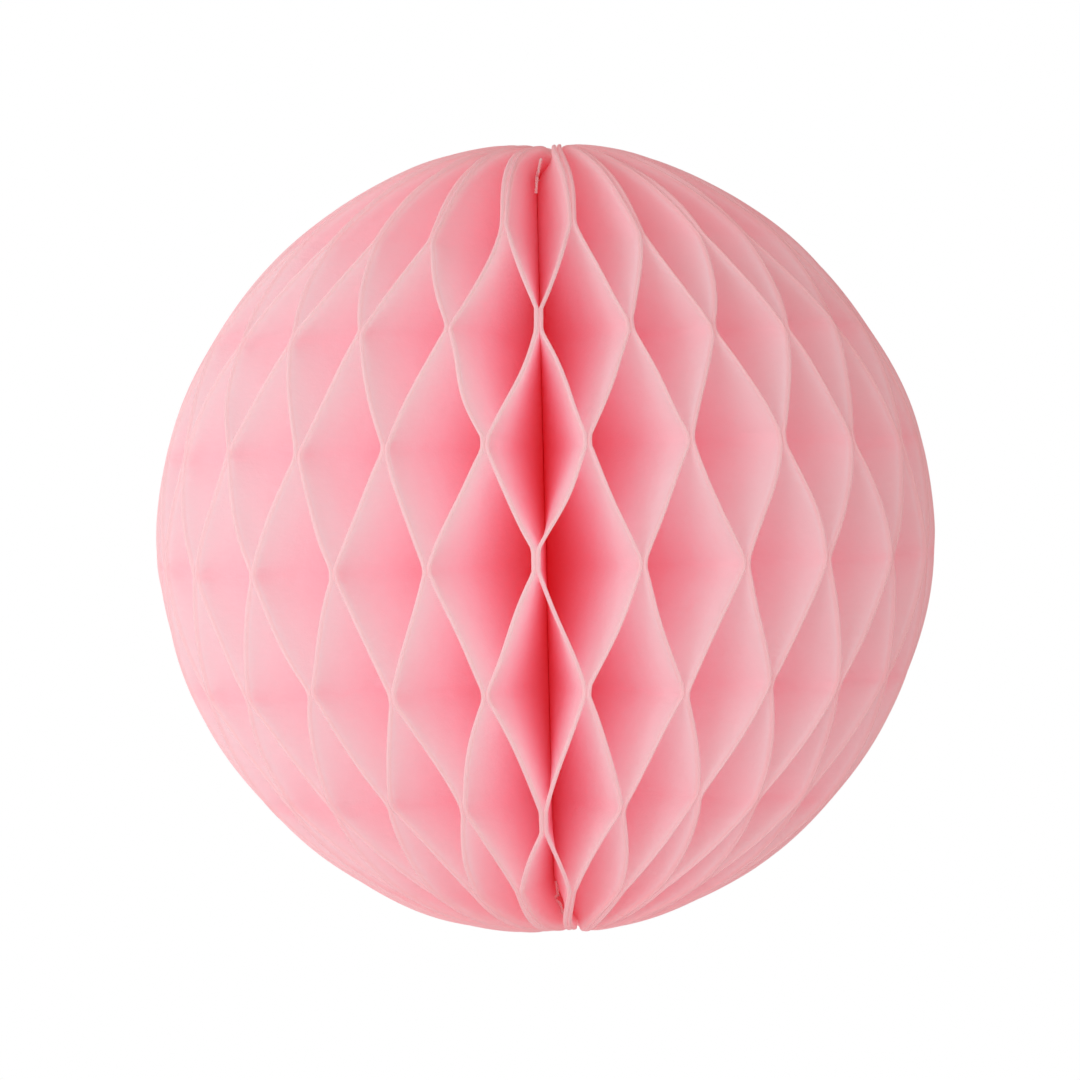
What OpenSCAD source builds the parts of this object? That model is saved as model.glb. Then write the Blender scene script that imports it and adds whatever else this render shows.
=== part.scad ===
// Honeycomb ball of tissue paper: a fan of half-round leaves, bonded to one another by glue strips,
// opened through a full turn about its spine and closed by two card covers.
// Millimetres. The spine stands on Z and its middle is the origin. Azimuths run from +X towards +Y.
// The covers meet on the +Y side, so the front of the ball, on the -Y side, is an unbroken honeycomb.

/* [Ball] */
// Height of the ball, along the spine
ball_h = 100; // [90:1:110]
// Width of the ball, at its equator
ball_w = 98; // [88:1:108]
// Thickness of one tissue leaf
leaf_t = 0.05; // [0.03:0.01:0.06]
// Radius of the hollow that the leaves' inner edges leave along the spine
spine_r = 0.8; // [0.8:0.05:1]

/* [Glue strips] */
// Distance between neighbouring rows of glue strips
row_pitch = 14.8; // [14.4:0.1:15.2]
// Height of one glue strip
strip_h = 3; // [2:0.5:4]
// Height of the lowest row of glue strips, from the middle of the spine
first_row_z = -47.7; // [-47.9:0.1:-47.5]

/* [Covers] */
// Thickness of the card
card_t = 0.3; // [0.2:0.05:0.4]
// Distance from the spine to the card's straight edge
card_inset = 4.4; // [4.2:0.2:6]
// How far the card's round edge stands back from the leaves'
card_setback = 1.2; // [1:0.1:3]
// Thickness of the adhesive tabs that hold the covers together
tab_t = 0.1; // [0.06:0.02:0.14]
// Width of a tab, away from the spine
tab_w = 7; // [5:1:9]
// Height of a tab, along the spine
tab_h = 13; // [8:1:16]

/* [Thread ties] */
// Thickness of the thread
thread_d = 0.26; // [0.2:0.02:0.26]
// Height of the ties above and below the middle of the spine
tie_z = 45; // [44.8:0.1:45.2]

/* [Hidden] */
leaf_count = 48;
row_count = 7;
leaf_step = 360 / leaf_count;            // azimuth that one open leaf takes up
seam_azimuth = 90;
seam_gap = tab_t / 2;                    // from the seam's plane to either card
seam_shift = card_t + seam_gap;          // how far the card pushes the first and last leaf aside
hole_r = [1.3, 2.1];                     // near and far edge of a thread hole
hole_h = 2;
tie_r = (hole_r[0] + hole_r[1]) / 2;
tail_r = 3;                              // where the thread's ends hang, in the front cell
tail_up = 2.1;
tail_down = 2;
knot_d = 0.4;
tab_r = 34;                              // from the spine to the middle of a tab
tab_spacing = 24;

// Heights at which a leaf's outline or its course changes: the edges of the glue strips, one height
// between each two rows, the edges of the thread holes, and steps that round off the two ends.
end_latitudes = [3, 8, 13];
row_z = [for (k = [0:row_count - 1]) first_row_z + k * row_pitch];
strip_edges = [for (z = row_z) each [z - strip_h / 2, z + strip_h / 2]];
between_rows = [for (k = [1:row_count - 3]) row_z[k] + row_pitch / 2];
hole_edges = [for (side = [-1, 1]) each [side * tie_z - hole_h / 2, side * tie_z + hole_h / 2]];
end_steps = [for (a = end_latitudes) each [-ball_h / 2 * cos(a), ball_h / 2 * cos(a)]];
levels = sorted(concat(strip_edges, between_rows, hole_edges, end_steps));
column_count = 4;

function sorted(list) = len(list) < 2 ? list :
    let (pivot = list[floor(len(list) / 2)])
    concat(sorted([for (v = list) if (v < pivot) v]),
           [pivot],
           sorted([for (v = list) if (v > pivot) v]));

// Radius of the leaf's round edge at height z
function edge_r(z) = ball_w / 2 * sqrt(max(0, 1 - pow(2 * z / ball_h, 2)));

// Distance of column c from the spine: inner edge, both sides of the thread holes, round edge
function column_r(c, z) = c == 0 ? spine_r : c < 3 ? hole_r[c - 1] : max(edge_r(z), hole_r[1] + 0.3);

// Where a leaf stands between its two neighbouring interfaces: -1 on the first, 1 on the second.
// Leaves of even rows of strips are bonded on even interfaces, leaves of odd rows on odd ones.
function row_side(k, leaf) = (k + leaf) % 2 == 0 ? -1 : 1;
function leaf_side(z, leaf) =
    let (k = floor((z - first_row_z + strip_h / 2) / row_pitch + 1e-6),
         here = row_side(k + row_count + 1, leaf),
         past_strip = z - (first_row_z + k * row_pitch) - strip_h / 2)
    past_strip <= 0 ? here : here * (1 - 2 * past_strip / (row_pitch - strip_h));

// How far the card at the seam pushes a leaf's column aside. The two leaves there step onto the card
// between the near and the far side of their thread holes.
function seam_push(leaf, side, c) =
    c < 2 ? 0 :
    leaf == 1 ? (1 - side) / 2 * seam_shift :
    leaf == leaf_count ? -(1 + side) / 2 * seam_shift : 0;

// A point of a leaf. face is 0 on the side of its first interface and 1 on the side of its second.
function leaf_point(leaf, c, z, face) =
    let (side = leaf_side(z, leaf),
         r = column_r(c, z),
         a = seam_azimuth + (leaf - 0.5 + side / 2) * leaf_step,
         across = (face - 0.5 - side / 2) * leaf_t + seam_push(leaf, side, c))
    [r * cos(a) - across * sin(a), r * sin(a) + across * cos(a), z];

// The patches of a leaf lie between two columns and two levels. Those of the thread holes are left out.
function is_patch(c, i) =
    c >= 0 && c < column_count - 1 && i >= 0 && i < len(levels) - 1 &&
    !(c == 1 && abs(abs((levels[i] + levels[i + 1]) / 2) - tie_z) < hole_h / 2);

// A node's own number in the points list
function corner(face, c, i) = (face * len(levels) + i) * column_count + c;

// Which way a patch is cut into two triangles: true from its inner lower corner. Neighbouring leaves are
// cut along opposite diagonals, which keeps them the same distance apart. The first and the last leaf are
// cut from the corner that lies on the card, so that neither triangle dips into the card.
function cut_upwards(leaf, i) =
    let (climb = leaf_side(levels[i + 1], leaf) - leaf_side(levels[i], leaf))
    leaf == 1 ? climb > 0 : leaf == leaf_count ? climb < 0 : leaf % 2 == 0;

// Two triangles on one face of a patch
function patch_face(leaf, face, c, i) =
    let (p = [corner(face, c, i), corner(face, c + 1, i), corner(face, c + 1, i + 1), corner(face, c, i + 1)],
         t = cut_upwards(leaf, i) ? [[p[0], p[1], p[2]], [p[0], p[2], p[3]]]
                                  : [[p[0], p[1], p[3]], [p[1], p[2], p[3]]])
    face == 0 ? t : [for (f = t) [f[2], f[1], f[0]]];

// The narrow wall that joins the two faces, along one side of a patch
function wall(c0, i0, c1, i1) =
    let (a = corner(0, c0, i0), b = corner(0, c1, i1), e = corner(1, c1, i1), d = corner(1, c0, i0))
    [[a, d, b], [b, d, e]];

module leaf(n) {
    last = len(levels) - 1;
    points = [for (face = [0, 1]) for (i = [0:last]) for (c = [0:column_count - 1])
              leaf_point(n, c, levels[i], face)];
    faces = [for (i = [0:last - 1]) for (c = [0:column_count - 2]) if (is_patch(c, i)) each concat(
        patch_face(n, 0, c, i),
        patch_face(n, 1, c, i),
        is_patch(c, i - 1) ? [] : wall(c, i, c + 1, i),
        is_patch(c + 1, i) ? [] : wall(c + 1, i, c + 1, i + 1),
        is_patch(c, i + 1) ? [] : wall(c + 1, i + 1, c, i + 1),
        is_patch(c - 1, i) ? [] : wall(c, i + 1, c, i))];
    color([0.96, 0.66, 0.69]) polyhedron(points, faces);
}

// Stands what is drawn as (distance from the spine, height) up on the seam, and thickens it towards +X
module on_seam(x, thickness) {
    translate([x, 0, 0]) rotate([90, 0, 90]) linear_extrude(thickness) children();
}

module card(x) {
    color([0.93, 0.62, 0.66]) on_seam(x, card_t) intersection() {
        circle(r = ball_w / 2 - card_setback, $fn = 120);
        translate([card_inset, -ball_h]) square([ball_w, 2 * ball_h]);
    }
}

module fixed_cover() card(-seam_gap - card_t);

module swinging_cover() card(seam_gap);

module closure_tab(row) {
    color([0.95, 0.95, 0.9]) on_seam(-seam_gap, tab_t)
        translate([tab_r, row * tab_spacing]) square([tab_w, tab_h], center = true);
}

// A straight run of thread between two points, with round ends
module thread(from, to, d) {
    run = to - from;
    translate(from) sphere(d = d, $fn = 24);
    translate(to) sphere(d = d, $fn = 24);
    translate(from)
        rotate([0, acos(run[2] / norm(run)), atan2(run[1], run[0])])
        cylinder(d = d, h = norm(run), $fn = 24);
}

// A ring of thread through every leaf, knotted in the front cell, with its two ends up and down
module tie(z, up) {
    on_ring = [0, -tie_r, z];
    at_knot = [0, -tail_r, z];
    color([0.93, 0.9, 0.88]) {
        translate([0, 0, z]) rotate_extrude($fn = 96) translate([tie_r, 0]) circle(d = thread_d, $fn = 24);
        thread(on_ring, at_knot, thread_d);
        translate(at_knot) sphere(d = knot_d, $fn = 24);
        thread(at_knot, at_knot + [0, 0, up * tail_up], thread_d);
        thread(at_knot, at_knot - [0, 0, up * tail_down], thread_d);
    }
}

module top_tie() tie(tie_z, 1);

module bottom_tie() tie(-tie_z, -1);

function leaf_name(n) = str("leaf_", n < 10 ? "0" : "", n);

for (n = [1:leaf_count]) leaf(n);
fixed_cover();
swinging_cover();
closure_tab(-1);  // closure_tab_lower
closure_tab(0);  // closure_tab_middle
closure_tab(1);  // closure_tab_upper
top_tie();
bottom_tie();
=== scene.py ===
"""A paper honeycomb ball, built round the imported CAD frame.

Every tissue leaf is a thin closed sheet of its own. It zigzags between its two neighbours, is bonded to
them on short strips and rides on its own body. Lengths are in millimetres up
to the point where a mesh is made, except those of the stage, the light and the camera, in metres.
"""
import math

import bpy
import numpy as np
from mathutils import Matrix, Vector


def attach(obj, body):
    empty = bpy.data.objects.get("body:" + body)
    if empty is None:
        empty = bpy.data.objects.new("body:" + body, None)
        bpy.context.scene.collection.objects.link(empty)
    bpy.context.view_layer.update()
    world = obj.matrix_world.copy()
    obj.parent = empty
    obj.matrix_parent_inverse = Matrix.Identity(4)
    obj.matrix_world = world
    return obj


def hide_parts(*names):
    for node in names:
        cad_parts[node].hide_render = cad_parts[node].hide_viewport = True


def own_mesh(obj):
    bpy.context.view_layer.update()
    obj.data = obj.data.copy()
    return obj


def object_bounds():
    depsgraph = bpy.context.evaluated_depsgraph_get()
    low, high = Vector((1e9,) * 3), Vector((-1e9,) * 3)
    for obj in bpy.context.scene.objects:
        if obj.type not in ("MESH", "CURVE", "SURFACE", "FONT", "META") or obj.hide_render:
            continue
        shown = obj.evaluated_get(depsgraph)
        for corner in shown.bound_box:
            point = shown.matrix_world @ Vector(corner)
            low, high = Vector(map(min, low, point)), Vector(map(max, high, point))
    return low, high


MM = 0.001

# The fan, as the CAD has it. Leaf n lies between the interfaces n - 1 and n.
LEAVES = 48
STEP = math.tau / LEAVES
SEAM_AZIMUTH = math.pi / 2
FRONT_INTERFACE = LEAVES // 2
FRONT_LEAF = (LEAVES + 1) / 2
FIRST_ROW_Z = -47.7
ROW_PITCH = 14.8
ROWS = 7
STRIP_H = 3.0
INNER_R = 0.12
SEAM_SHIFT = 0.35
SEAM_RAMP = (1.3, 2.1)

# The round edge of a leaf: a slight dip on the flanks, and fuller towards the ends of the spine
FLANK_DIP = 0.35
FLANK_SHARE = 0.66
FULLER_FROM = 0.62
FULLER_TO = 0.86
END_SHORTFALL = 0.35
END_LATITUDE = math.pi / 2 - 0.012
SMALLEST_EDGE_R = 1.0
EDGE_JITTER = 0.16

# How thick the tissue is, with a soft band along its round edge
LEAF_T = 0.09
SPINE_T = 0.03
SPINE_THINNING = (0.2, 2.5)
RIM_T = 0.56
RIM_T_PER_R = 0.085
RIM_FROM = 2.4
RIM_TINT = (0.12, 0.6)
LEAST_ROUNDING = 0.06
BOND_GAP = 0.006

# How unevenly the leaves lie. Each row of strips drifts, and beside the front it drifts further.
ROW_DRIFT = [3.9, -0.8, -0.2, 1.1, -0.3, -0.8, -2.7]
SIDE_DRIFT = [0.0, 2.7, 0.1, -2.1, -0.3, -1.0, -2.4]
NODE_Z_JITTER = 0.45
STRIP_H_SHARE = (0.25, 0.48)
FRONT_STRIP_H = 2.7
NODE_AZIMUTH_JITTER = math.radians(0.42)
FRONT_DRIFT = math.radians(-1.2)
TWIST = math.radians(1.3)
BILLOW = 0.0065

# Near the ends of the spine the leaves stay together, the front ones open at the top, and tips lean
END_REACH = 110.0
TOP_OPENING = math.radians(3.4)
TOP_OPENING_Z = (36, 48)
TIP_PULL = 1.4
TIP_PULL_Z = 45.5
FRONT_TIP_PULL = 0.8
TOP_LEAN = 2.3
TOP_LEAN_Z = 44
BOTTOM_LEAN = 2.6
BOTTOM_LEAN_Z = 42

# The thread ties
TIE_LEAF = 24
TIE_Z = 45.0
TIE_R = 1.7
TIE_POINTS = 72
KNOT_R = 3.0
THREAD_D = 0.26
THREAD_STEP = 0.07
THREAD_TWIST = 0.75
PLY_R = 0.27 * THREAD_D
PLY_OFFSET = 0.86
PLY_SIDES = 7
LOOSE_PLIES = 1.7

# Mesh detail of a leaf: points along its round edge, and columns by their distance from it
LINES = 220
COLUMNS_FROM_RIM = [0, 0.06, 0.16, 0.34, 0.6, 1.0, 1.8, 3.5, 6.5, 11, 18, 26, 35, 43, 46.4, 48]

# Stage, light and camera
FLOOR_R = 0.42
FLOOR_Z = -0.125
FLOOR_SIDES = 96
FLOOR_GLOW = 0.16
BRIGHT_SIDE = (-0.75, -0.18, -0.78)
LIGHT_AWAY = (0.40, 0.23, 0.21, 1)
LIGHT_TOWARDS = (1.19, 1.58, 1.52, 1)
SOFTBOX_SIZE = 0.5
SOFTBOX_ENERGY = 2.1
SOFTBOX_COLOUR = (0.8, 1.0, 1.0)
SOFTBOX_PLACE = (-0.42, -0.78, -0.08)
LIGHT_BOUNCES = 32
CAMERA_AWAY = 0.6
CAMERA_LENS = 158.6
CAMERA_SENSOR = 36
CAMERA_ROLL = math.radians(1.4)
CAMERA_SHIFT = (-0.0007, -0.0002)

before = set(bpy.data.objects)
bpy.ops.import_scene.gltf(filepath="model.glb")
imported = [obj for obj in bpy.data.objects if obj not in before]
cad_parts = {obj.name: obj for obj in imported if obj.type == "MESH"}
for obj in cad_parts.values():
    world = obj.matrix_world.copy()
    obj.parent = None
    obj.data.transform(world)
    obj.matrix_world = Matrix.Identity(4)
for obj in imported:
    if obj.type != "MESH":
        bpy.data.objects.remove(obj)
cad_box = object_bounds()
half_h = cad_box[1].z / MM
half_w = cad_box[1].x / MM


def smooth(a, b, x):
    """0 below a, 1 above b, and a smooth climb between them."""
    t = np.clip((x - a) / (b - a), 0, 1)
    return t * t * (3 - 2 * t)


def bell(x, width):
    """1 where x is 0, falling to nothing within about two widths."""
    return np.exp(-(x / width) ** 2)


def wander(rng, terms, x):
    """A smooth random curve over x from 0 to 1, mostly between -1 and 1."""
    total = np.zeros_like(x)
    for n in range(1, terms + 1):
        size = rng.normal() / math.sqrt(terms)
        total = total + size * np.sin(math.pi * n * x + rng.uniform(0, math.tau))
    return total


def placed(name, data):
    """A new object in the scene."""
    piece = bpy.data.objects.new(name, data)
    bpy.context.scene.collection.objects.link(piece)
    return piece


# ---------------------------------------------------------------- the honeycomb's layout


class Honeycomb:
    """Where the interfaces between the leaves stand, and at which heights they are bonded."""

    def __init__(self, seed):
        rng = np.random.default_rng(seed)
        self.row_z = [FIRST_ROW_Z + ROW_PITCH * m + ROW_DRIFT[m] for m in range(ROWS)]
        from_front = np.arange(LEAVES + 1) - FRONT_INTERFACE
        beside_front = (1 - bell(from_front, 2)) * bell(from_front, 9)
        self.node_z = rng.uniform(-1, 1, (LEAVES + 1, ROWS)) * NODE_Z_JITTER + np.array(self.row_z)
        self.node_z += beside_front[:, None] * np.array(SIDE_DRIFT)
        self.node_h = rng.uniform(*STRIP_H_SHARE, (LEAVES + 1, ROWS)) * STRIP_H / 2
        self.node_h[FRONT_INTERFACE] = FRONT_STRIP_H / 2
        self.node_z[LEAVES] = self.node_z[0]
        self.node_h[LEAVES] = self.node_h[0]
        self.seeds = rng.integers(1, 1 << 30, LEAVES + 1)

    def azimuth(self, k, z):
        """Azimuth of interface k at height z. The two at the seam lie straight against the cards."""
        rng = np.random.default_rng(self.seeds[k])
        from_front = k - FRONT_INTERFACE
        from_seam = min(k, LEAVES - k)
        lean = (FRONT_DRIFT + TWIST * z / half_h) * math.sin(math.pi * k / LEAVES)
        jitter = min(1, from_seam / 2) * NODE_AZIMUTH_JITTER * wander(rng, 4, z / (2 * half_h) + 0.5)
        opening = TOP_OPENING * math.tanh(2 * from_front) * bell(from_front, 4.5)
        return SEAM_AZIMUTH + STEP * k + lean + jitter + opening * smooth(*TOP_OPENING_Z, z)

    def strips(self, leaf):
        """A leaf's strips from bottom to top: height, half height, and -1 or 1 for its interface."""
        marks = []
        for m in range(-1, ROWS + 1):
            where = -1 if (m + leaf) % 2 == 0 else 1
            k = leaf - 1 if where < 0 else leaf
            if m < 0:
                marks.append((self.row_z[0] - END_REACH, STRIP_H / 2, where))
            elif m < ROWS:
                marks.append((self.node_z[k][m], self.node_h[k][m], where))
            else:
                marks.append((self.row_z[-1] + END_REACH, STRIP_H / 2, where))
        return marks

    def side(self, leaf, z):
        """-1 where the leaf lies on its first interface, 1 on its second, and straight between strips."""
        marks = self.strips(leaf)
        result = np.zeros_like(z)
        for (z0, h0, s0), (z1, h1, s1) in zip(marks, marks[1:]):
            t = np.clip((z - z0 - h0) / (z1 - h1 - z0 - h0), 0, 1)
            result = np.where((z >= z0) & (z < z1), s0 + (s1 - s0) * t, result)
        return result


comb = Honeycomb(seed=11)


# ---------------------------------------------------------------- the leaves' shape


def edge_radius(latitude):
    """Distance from the ball's centre to a leaf's round edge."""
    up = np.abs(latitude) / (math.pi / 2)
    dip = FLANK_DIP * np.sin(math.pi * np.clip(up / FLANK_SHARE, 0, 1))
    fuller = (half_h - half_w - END_SHORTFALL) * smooth(FULLER_FROM, FULLER_TO, up)
    return half_w - dip + fuller


def leaf_grid(rng):
    """A leaf's grid of points: distance from the spine, height, and distance in from the round edge."""
    latitude = np.linspace(-END_LATITUDE, END_LATITUDE, LINES)
    outline = edge_radius(latitude) + EDGE_JITTER * wander(rng, 14, latitude / math.pi + 0.5)
    edge_r = np.maximum(outline * np.cos(latitude), SMALLEST_EDGE_R)
    edge_z = outline * np.sin(latitude)
    from_rim = np.array(COLUMNS_FROM_RIM + [half_w - INNER_R])
    share = 1 - from_rim / from_rim[-1]
    r = INNER_R + (edge_r[:, None] - INNER_R) * share[None, :]
    z = np.repeat(edge_z[:, None], len(share), axis=1)
    to_edge = np.interp(np.arctan2(z, r), latitude, outline) - np.hypot(r, z)
    return r, z, to_edge


def thickness(r, to_edge):
    """A leaf's thickness, swelling towards its round edge, before and after the edge is rounded."""
    flat = SPINE_T + (LEAF_T - SPINE_T) * smooth(*SPINE_THINNING, r)
    swelling = 1 - smooth(0, RIM_FROM, to_edge)
    full = flat + (np.minimum(RIM_T, RIM_T_PER_R * r) - flat) * swelling
    inward = np.clip(to_edge / (RIM_T / 2), 0, 1)
    rounding = np.sqrt(np.clip(1 - (1 - inward) ** 2, LEAST_ROUNDING, 1))
    return full, full * rounding


def billowing(rng, r, z, side):
    """How far the tissue waves out of its plane between its strips."""
    out = r / half_w
    up = (z / half_h + 1) / 2
    broad = wander(rng, 5, up + 0.21 * out)
    fine = wander(rng, 11, up - 0.3 * out)
    return (1 - side ** 2) * r * BILLOW * (broad + 0.7 * out * fine)


def seam_push(leaf, r, side):
    """How far the cards at the seam push the first and the last leaf aside."""
    ramp = np.clip((r - SEAM_RAMP[0]) / (SEAM_RAMP[1] - SEAM_RAMP[0]), 0, 1)
    if leaf == 1:
        return (1 - side) / 2 * SEAM_SHIFT * ramp
    if leaf == LEAVES:
        return -(1 + side) / 2 * SEAM_SHIFT * ramp
    return np.zeros_like(r)


def shape_ends(points, leaf, r, z):
    """Pull a leaf's tips in at the ends of the spine, and lean those of the front leaves aside."""
    from_front = leaf - FRONT_LEAF
    pull = TIP_PULL * bell(r, 3) + FRONT_TIP_PULL * bell(from_front, 3) * bell(r, 6)
    points[..., 2] -= np.sign(z) * pull * smooth(TIP_PULL_Z, half_h, np.abs(z))
    top = TOP_LEAN * smooth(TOP_LEAN_Z, half_h, z)
    bottom = BOTTOM_LEAN * smooth(BOTTOM_LEAN_Z, half_h, -z)
    points[..., 0] += bell(r, 10) * bell(from_front, 8) * (top + bottom)


def leaf_points(leaf):
    """The two faces of a leaf as grids of points, and how near the round edge each point is."""
    rng = np.random.default_rng(500 + leaf)
    r, z, to_edge = leaf_grid(rng)
    full, thick = thickness(r, to_edge)
    side = comb.side(leaf, z)
    first = comb.azimuth(leaf - 1, z)
    second = comb.azimuth(leaf, z)
    azimuth = first * (1 - side) / 2 + second * (1 + side) / 2
    bonded = side / 2 * (full + BOND_GAP)
    aside = seam_push(leaf, r, side) + billowing(rng, r, z, side) - bonded
    faces = []
    for face in (-0.5, 0.5):
        across = face * thick + aside
        x = r * np.cos(azimuth) - across * np.sin(azimuth)
        y = r * np.sin(azimuth) + across * np.cos(azimuth)
        faces.append(np.stack([x, y, z], axis=-1))
    points = np.stack(faces)
    shape_ends(points, leaf, r, z)
    return points, 1 - smooth(*RIM_TINT, to_edge)


def border(grid):
    """The numbers round the border of a grid, ending where they start."""
    return np.concatenate([grid[:, 0], grid[-1, 1:], grid[::-1, -1][1:], grid[0, ::-1][1:]])


def grid_mesh(name, points, rim):
    """A closed thin sheet from its two faces, with the nearness to its edge as an attribute."""
    _, lines, columns, _ = points.shape
    index = np.arange(2 * lines * columns).reshape(2, lines, columns)
    a, b = index[0], index[1]
    front = np.stack([a[:-1, :-1], a[1:, :-1], a[1:, 1:], a[:-1, 1:]], -1).reshape(-1, 4)
    back = np.stack([b[:-1, :-1], b[:-1, 1:], b[1:, 1:], b[1:, :-1]], -1).reshape(-1, 4)
    near, far = border(a), border(b)
    wall = np.stack([near[:-1], far[:-1], far[1:], near[1:]], -1)
    quads = np.concatenate([front, back, wall])
    mesh = bpy.data.meshes.new(name)
    mesh.vertices.add(index.size)
    mesh.vertices.foreach_set("co", (points.reshape(-1, 3) * MM).ravel())
    mesh.loops.add(quads.size)
    mesh.loops.foreach_set("vertex_index", quads.ravel())
    mesh.polygons.add(len(quads))
    mesh.polygons.foreach_set("loop_start", np.arange(0, quads.size, 4))
    mesh.polygons.foreach_set("use_smooth", np.ones(len(quads), bool))
    attribute = mesh.attributes.new("rim", "FLOAT", "POINT")
    attribute.data.foreach_set("value", np.tile(rim.ravel(), 2))
    mesh.update(calc_edges=True)
    mesh.validate()
    return placed(name, mesh)


# ---------------------------------------------------------------- materials


class Nodes:
    """A short way to add and join shader nodes."""

    def __init__(self, name):
        self.material = bpy.data.materials.new(name)
        self.material.use_nodes = True
        self.tree = self.material.node_tree
        self.tree.nodes.clear()

    def add(self, kind, inputs=None, **settings):
        node = self.tree.nodes.new(kind)
        for key, value in settings.items():
            setattr(node, key, value)
        for key, value in (inputs or {}).items():
            self.put(node.inputs[key], value)
        return node

    def put(self, socket, value):
        if isinstance(value, bpy.types.NodeSocket):
            self.tree.links.new(value, socket)
        else:
            socket.default_value = value

    def place(self):
        return self.add("ShaderNodeTexCoord").outputs["Object"]

    def noise(self, where, scale, detail=3.0, roughness=0.5, stretch=None):
        if stretch:
            where = self.add("ShaderNodeMapping", {"Vector": where, "Scale": stretch}).outputs[0]
        return self.add(
            "ShaderNodeTexNoise",
            {"Vector": where, "Scale": scale, "Detail": detail, "Roughness": roughness},
        ).outputs["Fac"]

    def spread(self, value, low, high, to_low=0.0, to_high=1.0):
        return self.add(
            "ShaderNodeMapRange",
            {"Value": value, "From Min": low, "From Max": high, "To Min": to_low, "To Max": to_high},
        ).outputs["Result"]

    def mix(self, factor, a, b):
        node = self.add("ShaderNodeMix", data_type="RGBA")
        self.put(node.inputs["Factor"], factor)
        self.put(node.inputs[6], a)
        self.put(node.inputs[7], b)
        return node.outputs[2]

    def math(self, operation, a, b):
        node = self.add("ShaderNodeMath", operation=operation)
        self.put(node.inputs[0], a)
        self.put(node.inputs[1], b)
        return node.outputs[0]

    def bump(self, height, strength, distance):
        return self.add(
            "ShaderNodeBump",
            {"Height": height, "Strength": strength, "Distance": distance},
        ).outputs["Normal"]

    def surface(self, inputs):
        return self.add("ShaderNodeBsdfPrincipled", inputs).outputs[0]

    def output(self, shader):
        self.add("ShaderNodeOutputMaterial", {"Surface": shader})
        return self.material


def linear(value):
    """A linear light value from an sRGB value of 0 to 255."""
    if value > 10:
        return ((value / 255 + 0.055) / 1.055) ** 2.4
    return value / 255 / 12.92


def colour(red, green, blue):
    """A linear colour from sRGB values of 0 to 255."""
    return (linear(red), linear(green), linear(blue), 1.0)


def tissue_colour_and_shade(n, place, fibres):
    """Dyed tissue, cloudy and fibrous, with painted shade deepening it towards the spine where the cells
    are deep; a little deeper again over the outer part of the ball and at the cut edge.
    """
    clouds = n.noise(place, 260, 4.0, 0.6)
    rim = n.add("ShaderNodeAttribute", attribute_name="rim").outputs["Fac"]
    from_centre = n.add("ShaderNodeVectorMath", {0: place}, operation="LENGTH").outputs["Value"]
    painted_shade_deep = colour(255, 217, 226)
    pale = colour(255, 236, 243)
    # painted shade: the colour deepens towards the ball's centre, standing in for the shade deep inside
    # the cells
    body = n.mix(n.spread(from_centre, 0.008, 0.034), painted_shade_deep, pale)
    body = n.mix(n.spread(clouds, 0.35, 0.65, 0, 0.25), body, colour(255, 216, 224))
    body = n.mix(n.spread(fibres, 0.52, 0.78, 0, 0.35), body, colour(255, 228, 234))
    body = n.mix(n.spread(from_centre, 0.038, 0.0488), body, colour(255, 221, 229))
    return n.mix(n.math("MULTIPLY", rim, 0.95), body, colour(255, 188, 196))


def tissue_material():
    """Thin dyed tissue with fine crinkles, light coming through it, and a faint painted red glow."""
    n = Nodes("tissue")
    place = n.place()
    fibres = n.noise(place, 2600, 5.0, 0.7, stretch=(1, 1, 0.35))
    crinkles = n.noise(place, 520, 3.0, 0.55, stretch=(1, 1, 2.2))
    body = tissue_colour_and_shade(n, place, fibres)
    white = colour(255, 255, 255)
    bump = n.bump(n.math("ADD", n.math("MULTIPLY", fibres, 0.25), crinkles), 0.22, 0.0004)
    paper = n.surface(
        {
            "Base Color": body,
            "Roughness": n.spread(fibres, 0.3, 0.7, 0.78, 0.95),
            "Specular IOR Level": 0.05,
            # painted light: a faint red glow stands in for light bounced deep into the cells
            "Emission Color": colour(255, 20, 30),
            "Emission Strength": 0.04,
            "Normal": bump,
        }
    )
    through = n.add("ShaderNodeBsdfTranslucent", {"Color": n.mix(0.7, body, white), "Normal": bump})
    sheet = n.add("ShaderNodeMixShader", {0: 0.42, 1: paper, 2: through.outputs[0]}).outputs[0]
    inside = n.add("ShaderNodeBsdfTranslucent", {"Color": white}).outputs[0]
    is_inside = n.add("ShaderNodeNewGeometry").outputs["Backfacing"]
    return n.output(n.add("ShaderNodeMixShader", {0: is_inside, 1: sheet, 2: inside}).outputs[0])


def card_material():
    """Pink card: a soft mottled face with short pressed fibres."""
    n = Nodes("card")
    place = n.place()
    mottle = n.noise(place, 180, 4.0, 0.6)
    fibres = n.noise(place, 1800, 4.0, 0.7, stretch=(1, 0.3, 1))
    body = n.mix(n.spread(mottle, 0.35, 0.65), colour(236, 158, 168), colour(244, 176, 184))
    body = n.mix(n.spread(fibres, 0.55, 0.8, 0, 0.4), body, colour(252, 205, 208))
    face = {
        "Base Color": body,
        "Roughness": n.spread(mottle, 0.3, 0.7, 0.7, 0.85),
        "Specular IOR Level": 0.25,
        "Normal": n.bump(fibres, 0.3, 0.0002),
    }
    return n.output(n.surface(face))


def adhesive_material():
    """Milky double-sided adhesive with small trapped bubbles."""
    n = Nodes("adhesive")
    place = n.place()
    bubbles = n.add("ShaderNodeTexVoronoi", {"Vector": place, "Scale": 900.0}).outputs["Distance"]
    haze = n.noise(place, 400, 3.0)
    milky = {
        "Base Color": n.mix(n.spread(haze, 0.35, 0.65), colour(240, 234, 218), colour(250, 247, 238)),
        "Roughness": n.spread(haze, 0.3, 0.7, 0.3, 0.5),
        "Normal": n.bump(bubbles, 0.25, 0.0001),
    }
    return n.output(n.surface(milky))


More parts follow.
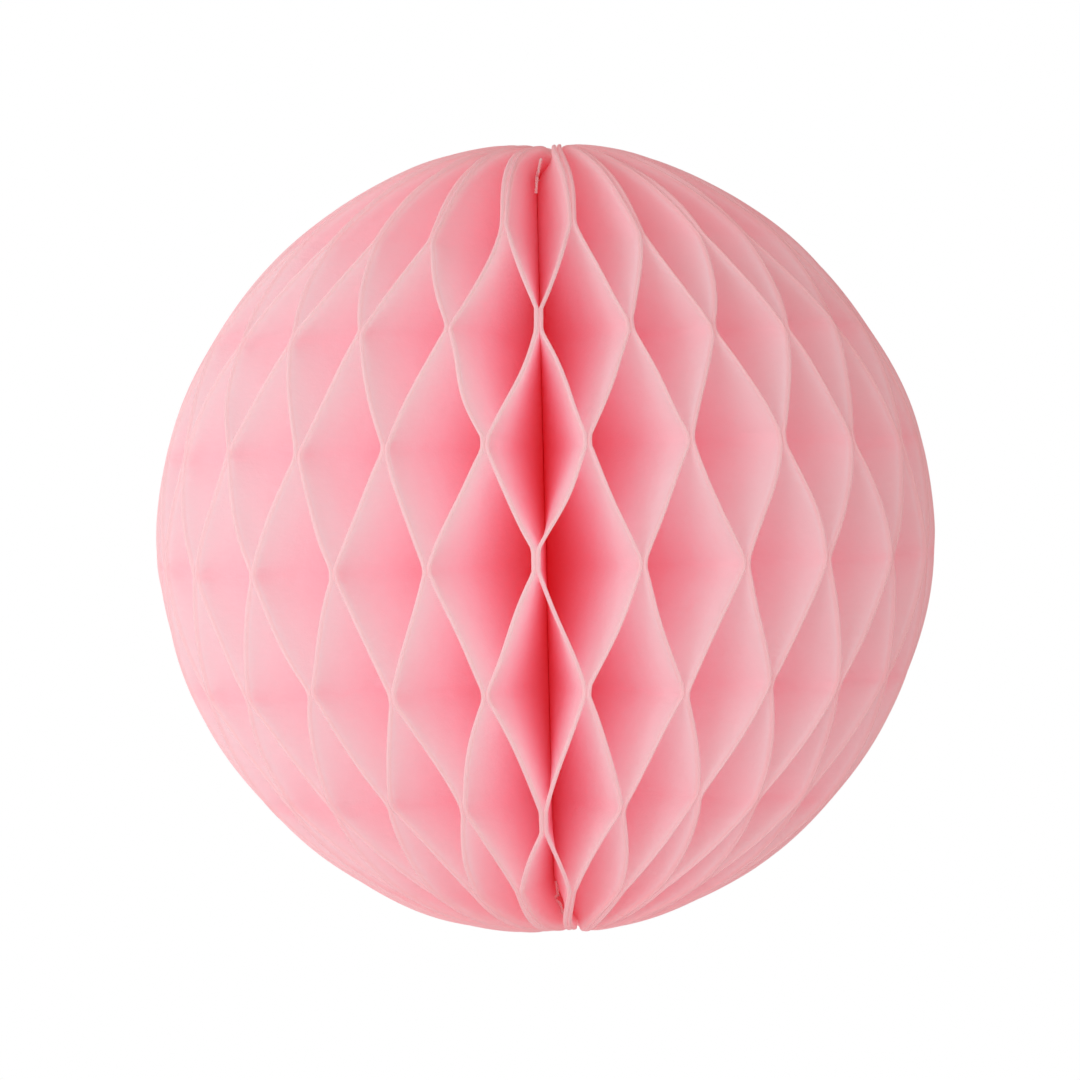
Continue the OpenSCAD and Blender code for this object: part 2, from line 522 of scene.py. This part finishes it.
def thread_material():
    """Undyed cotton thread with fine hairs along each ply."""
    n = Nodes("thread")
    hairs = n.noise(n.place(), 9000, 4.0, 0.7)
    cotton = {
        "Base Color": n.mix(n.spread(hairs, 0.3, 0.7), colour(238, 226, 224), colour(254, 249, 247)),
        "Roughness": n.spread(hairs, 0.3, 0.7, 0.7, 0.9),
        "Sheen Weight": 0.3,
        "Normal": n.bump(hairs, 0.4, 0.00003),
    }
    return n.output(n.surface(cotton))


# ---------------------------------------------------------------- pieces


def flatten(piece):
    """Give a piece its own copy of its mesh."""
    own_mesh(piece)


def make_leaves(material):
    for leaf in range(1, LEAVES + 1):
        name = f"leaf_{leaf:02d}"
        points, rim = leaf_points(leaf)
        piece = grid_mesh(f"tissue_{name}", points, rim)
        piece.data.materials.append(material)
        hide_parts(name)
        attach(piece, name)
        flatten(piece)


def even_points(path, closed):
    """Points evenly spaced along a path, and how far along it each one lies."""
    path = np.array(path, float)
    if closed:
        path = np.vstack([path, path[:1]])
    length = np.concatenate([[0], np.cumsum(np.linalg.norm(np.diff(path, axis=0), axis=1))])
    steps = max(24, int(length[-1] / THREAD_STEP))
    t = np.linspace(0, length[-1], steps)
    return np.stack([np.interp(t, length, path[:, i]) for i in range(3)], -1), t


def across_path(mid):
    """Two directions square to a path, at each of its points."""
    ahead = np.gradient(mid, axis=0)
    ahead /= np.linalg.norm(ahead, axis=1)[:, None]
    is_steep = np.abs(ahead[:, 2:]) > 0.8
    up = np.where(is_steep, [[1.0, 0, 0]], [[0, 0, 1.0]])
    right = np.cross(ahead, up)
    right /= np.linalg.norm(right, axis=1)[:, None]
    return right, np.cross(right, ahead)


def turned(angle, right, top):
    """The direction at an angle from right towards top."""
    return np.cos(angle)[..., None] * right + np.sin(angle)[..., None] * top


def ply_faces(start, rings):
    """The faces of a closed tube of PLY_SIDES sides, whose first vertex has the number start."""
    side = np.arange(PLY_SIDES)
    faces = []
    for ring in range(rings - 1):
        near = start + ring * PLY_SIDES + side
        far = near + PLY_SIDES
        faces += np.stack([near, np.roll(near, -1), np.roll(far, -1), far], -1).tolist()
    faces.append((start + side[::-1]).tolist())
    faces.append((start + (rings - 1) * PLY_SIDES + side).tolist())
    return faces


def twisted_thread(name, path, closed, loose, material):
    """Two plies wound round a path, in millimetres, which swell by loose as they leave the knot."""
    mid, t = even_points(path, closed)
    right, top = across_path(mid)
    turns = round(t[-1] / THREAD_TWIST)
    ply_r = PLY_R * (1 + (loose - 1) * smooth(0.15, 0.5, t / t[-1]))
    around = math.tau * np.arange(PLY_SIDES) / PLY_SIDES
    out = turned(around, right[:, None], top[:, None])
    verts = []
    faces = []
    for ply in (0, 1):
        twist = math.tau * turns * t / t[-1] + math.pi * ply
        centre = mid + PLY_OFFSET * ply_r[:, None] * turned(twist, right, top)
        rings = centre[:, None] + ply_r[:, None, None] * out
        faces += ply_faces(ply * len(t) * PLY_SIDES, len(t))
        verts += (rings.reshape(-1, 3) * MM).tolist()
    mesh = bpy.data.meshes.new(name)
    mesh.from_pydata(verts, [], faces)
    mesh.validate()
    for polygon in mesh.polygons:
        polygon.use_smooth = True
    mesh.materials.append(material)
    return placed(name, mesh)


def make_tie(node, up, reach, aside, material):
    """The ring of thread through every leaf, its knot in the front cell and its two loose ends."""
    z = TIE_Z * up
    around = np.linspace(0, math.tau, TIE_POINTS, endpoint=False)
    ring = [(TIE_R * math.cos(a), TIE_R * math.sin(a), z) for a in around]
    body = f"leaf_{TIE_LEAF}"
    pieces = [twisted_thread(f"{node}_ring", ring, True, 1.0, material)]
    upper = [
        (0, -1.75, z),
        (0, -2.4, z),
        (-0.05, -KNOT_R, z + 0.1 * up),
        (0.05, -KNOT_R - 0.5 * reach, z + 0.3 * up),
        (aside + 0.2, -KNOT_R - reach, z + 0.7 * up),
        (aside + 0.55, -KNOT_R - 1.15 * reach, z + 2.1 * up),
    ]
    lower = [
        (0, -1.75, z),
        (0, -2.5, z),
        (0.05, -KNOT_R, z - 0.1 * up),
        (0, -KNOT_R - 0.5 * reach, z + 0.1 * up),
        (aside - 0.05, -KNOT_R - 0.95 * reach, z - 0.3 * up),
        (aside - 0.2, -KNOT_R - reach, z - 2.1 * up),
    ]
    pieces.append(twisted_thread(f"{node}_upper_end", upper, False, LOOSE_PLIES, material))
    pieces.append(twisted_thread(f"{node}_lower_end", lower, False, LOOSE_PLIES, material))
    for piece in pieces:
        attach(piece, body)
    for end in pieces[1:]:
        flatten(end)
    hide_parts(node)


def dress(node, material):
    """Give a CAD node that stays its finished material."""
    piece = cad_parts[node]
    piece.data.materials.clear()
    piece.data.materials.append(material)


# ---------------------------------------------------------------- floor, light and camera


def floor_material():
    """Nearly white matt paper, with the faint glow of a white studio."""
    n = Nodes("floor")
    grain = n.noise(n.place(), 30, 3.0)
    matt = {
        "Base Color": n.mix(grain, colour(244, 234, 235), colour(250, 243, 244)),
        "Roughness": 0.8,
        "Emission Color": (0.8, 1.0, 1.0, 1.0),
        "Emission Strength": FLOOR_GLOW,
    }
    return n.output(n.surface(matt))


def make_stage():
    floor = bpy.data.meshes.new("floor")
    around = [math.tau * i / FLOOR_SIDES for i in range(FLOOR_SIDES)]
    ring = [(FLOOR_R * math.cos(a), FLOOR_R * math.sin(a), FLOOR_Z) for a in around]
    floor.from_pydata(ring, [], [list(range(FLOOR_SIDES))])
    floor.materials.append(floor_material())
    piece = placed("floor", floor)


def make_world():
    """A plain white backdrop, and soft light that is brighter from one side than from the other."""
    world = bpy.data.worlds.new("studio")
    bpy.context.scene.world = world
    world.use_nodes = True
    tree = world.node_tree
    tree.nodes.clear()
    add = tree.nodes.new
    link = tree.links.new
    coord = add("ShaderNodeTexCoord")
    towards = add("ShaderNodeVectorMath")
    towards.operation = "DOT_PRODUCT"
    towards.inputs[1].default_value = Vector(BRIGHT_SIDE).normalized()
    link(coord.outputs["Generated"], towards.inputs[0])
    share = add("ShaderNodeMapRange")
    share.inputs["From Min"].default_value = -1
    link(towards.outputs["Value"], share.inputs["Value"])
    tint = add("ShaderNodeMix")
    tint.data_type = "RGBA"
    tint.clamp_result = False
    tint.inputs[6].default_value = LIGHT_AWAY
    tint.inputs[7].default_value = LIGHT_TOWARDS
    link(share.outputs["Result"], tint.inputs["Factor"])
    soft = add("ShaderNodeBackground")
    link(tint.outputs[2], soft.inputs["Color"])
    seen = add("ShaderNodeBackground")
    seen.inputs["Color"].default_value = (1, 1, 1, 1)
    path = add("ShaderNodeLightPath")
    mix = add("ShaderNodeMixShader")
    out = add("ShaderNodeOutputWorld")
    link(path.outputs["Is Camera Ray"], mix.inputs[0])
    link(soft.outputs[0], mix.inputs[1])
    link(seen.outputs[0], mix.inputs[2])
    link(mix.outputs[0], out.inputs["Surface"])


def make_softbox():
    lamp = bpy.data.lights.new("softbox", "AREA")
    lamp.shape = "SQUARE"
    lamp.size = SOFTBOX_SIZE
    lamp.energy = SOFTBOX_ENERGY
    lamp.color = SOFTBOX_COLOUR
    key = placed("softbox", lamp)
    key.location = SOFTBOX_PLACE
    key.rotation_euler = (-key.location).to_track_quat("-Z", "Y").to_euler()


def make_camera():
    camera = bpy.data.cameras.new("camera")
    camera.lens = CAMERA_LENS
    camera.sensor_width = CAMERA_SENSOR
    piece = placed("camera", camera)
    piece.location = (CAMERA_SHIFT[0], -CAMERA_AWAY, CAMERA_SHIFT[1])
    piece.rotation_euler = (math.pi / 2, CAMERA_ROLL, 0)
    bpy.context.scene.camera = piece


make_camera()
tissue = tissue_material()
card = card_material()
adhesive = adhesive_material()
thread = thread_material()
make_leaves(tissue)
make_tie("top_tie", up=1, reach=5.4, aside=0.05, material=thread)
make_tie("bottom_tie", up=-1, reach=1.2, aside=0.5, material=thread)
for node in ("fixed_cover", "swinging_cover"):
    dress(node, card)
for node in ("closure_tab_lower", "closure_tab_middle", "closure_tab_upper"):
    dress(node, adhesive)
make_stage()
make_world()
make_softbox()
bpy.context.scene.view_settings.view_transform = "Standard"
bpy.context.scene.cycles.diffuse_bounces = LIGHT_BOUNCES
bpy.context.scene.cycles.transmission_bounces = LIGHT_BOUNCES
bpy.context.scene.cycles.max_bounces = LIGHT_BOUNCES
